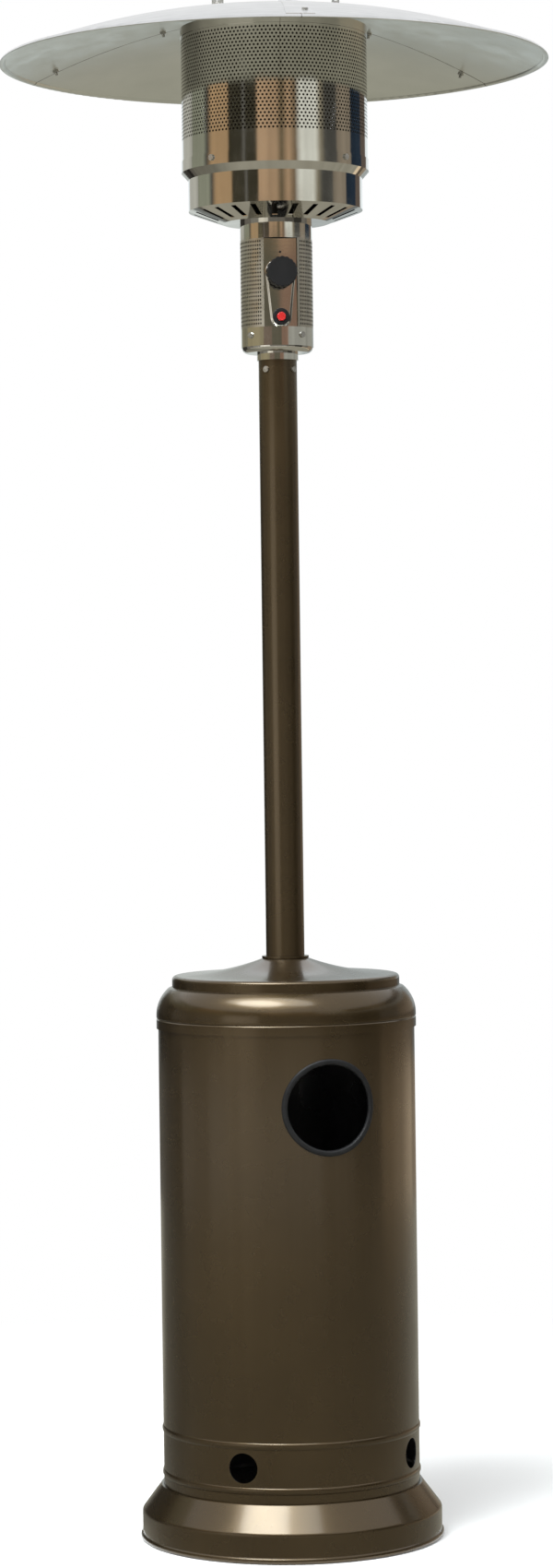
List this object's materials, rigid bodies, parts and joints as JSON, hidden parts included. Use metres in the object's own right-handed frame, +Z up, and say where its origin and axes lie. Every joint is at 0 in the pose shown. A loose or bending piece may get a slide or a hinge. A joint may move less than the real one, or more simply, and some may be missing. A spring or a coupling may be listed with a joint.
{
  "type": "gas patio heater",
  "caption": "Free-standing gas patio heater: bronze bottle housing that lifts and turns on a pole, polished burner head with knob and igniter, domed sectional reflector.",
  "frame": {"origin": "on the floor, under the pole's axis", "axes": "+Z up along the pole, -Y towards the front where the control knob faces, +X to the viewer's right"},
  "size_m": [0.813, 0.813, 2.2757],
  "materials": {
    "bronze_paint": "satin metallic paint",
    "polished_steel": "polished",
    "reflector_aluminium": "satin",
    "zinc_steel": "zinc plated",
    "frame_paint": "satin paint",
    "black_plastic": "moulded",
    "red_plastic": "moulded",
    "brass": "machined",
    "burner_steel": "heat-resistant steel",
    "ceramic": null
  },
  "bodies": {
    "heater": {"base_plate": "bronze_paint", "burner_bowl": "polished_steel", "burner_head": "burner_steel", "control_cup": "polished_steel", "control_housing": "polished_steel", "control_housing_screws": "zinc_steel", "control_panel": "polished_steel", "emitter_cap": "polished_steel", "emitter_screen": "polished_steel", "gas_injector": "brass", "gas_inlet_fitting": "brass", "gas_valve": "brass", "head_neck": "polished_steel", "igniter_bezel": "black_plastic", "igniter_body": "black_plastic", "ignition_electrode": "ceramic", "leg_foot_bolts": "zinc_steel", "leg_foot_nuts": "zinc_steel", "leg_left": "frame_paint", "leg_rear": "frame_paint", "leg_right": "frame_paint", "leg_top_bolts": "zinc_steel", "leg_top_nuts": "zinc_steel", "pilot_burner": "brass", "pilot_tube": "brass", "pole": "bronze_paint", "pole_top_screws": "zinc_steel", "post_mount": "frame_paint", "post_set_bolts": "zinc_steel", "reflector_panel_left": "reflector_aluminium", "reflector_panel_rear": "reflector_aluminium", "reflector_panel_right": "reflector_aluminium", "reflector_studs": "zinc_steel", "screen_screws": "zinc_steel", "seam_bolts": "zinc_steel", "seam_nuts": "zinc_steel", "stud_spacers": "zinc_steel", "stud_washers": "zinc_steel", "thermocouple": "brass", "tilt_switch": "black_plastic", "valve_outlet_tube": "brass", "venturi_tube": "burner_steel", "wing_nuts": "zinc_steel"},
    "housing_collar": {"pole_collar": "bronze_paint"},
    "tank_housing": {"housing_shell": "bronze_paint", "housing_lid": "bronze_paint", "opening_trim": "black_plastic"},
    "valve_spindle": {"valve_spindle": "zinc_steel"},
    "control_knob": {"control_knob": "black_plastic"},
    "igniter_button": {"igniter_button": "red_plastic"}
  },
  "joints": [
    {"name": "housing_lift", "type": "slide", "parent": "heater", "child": "housing_collar", "axis": [0, 0, 1], "range_m": [0, 0.85]},
    {"name": "housing_turn", "type": "hinge", "parent": "housing_collar", "child": "tank_housing", "pos_m": [0, 0, 0.84], "axis": [0, 0, 1], "continuous": true},
    {"name": "knob_turn", "type": "hinge", "parent": "heater", "child": "valve_spindle", "pos_m": [0, 0, 1.87], "axis": [0.1392, -0.9903, 0], "range_deg": [0, 180]},
    {"name": "knob_push", "type": "slide", "parent": "valve_spindle", "child": "control_knob", "axis": [-0.1392, 0.9903, 0], "range_m": [0, 0.004], "stiffness_N_per_m": 800, "springref_m": -0.004},
    {"name": "igniter_push", "type": "slide", "parent": "heater", "child": "igniter_button", "axis": [-0.1392, 0.9903, 0], "range_m": [0, 0.005], "stiffness_N_per_m": 1000, "springref_m": -0.004}
  ]
}
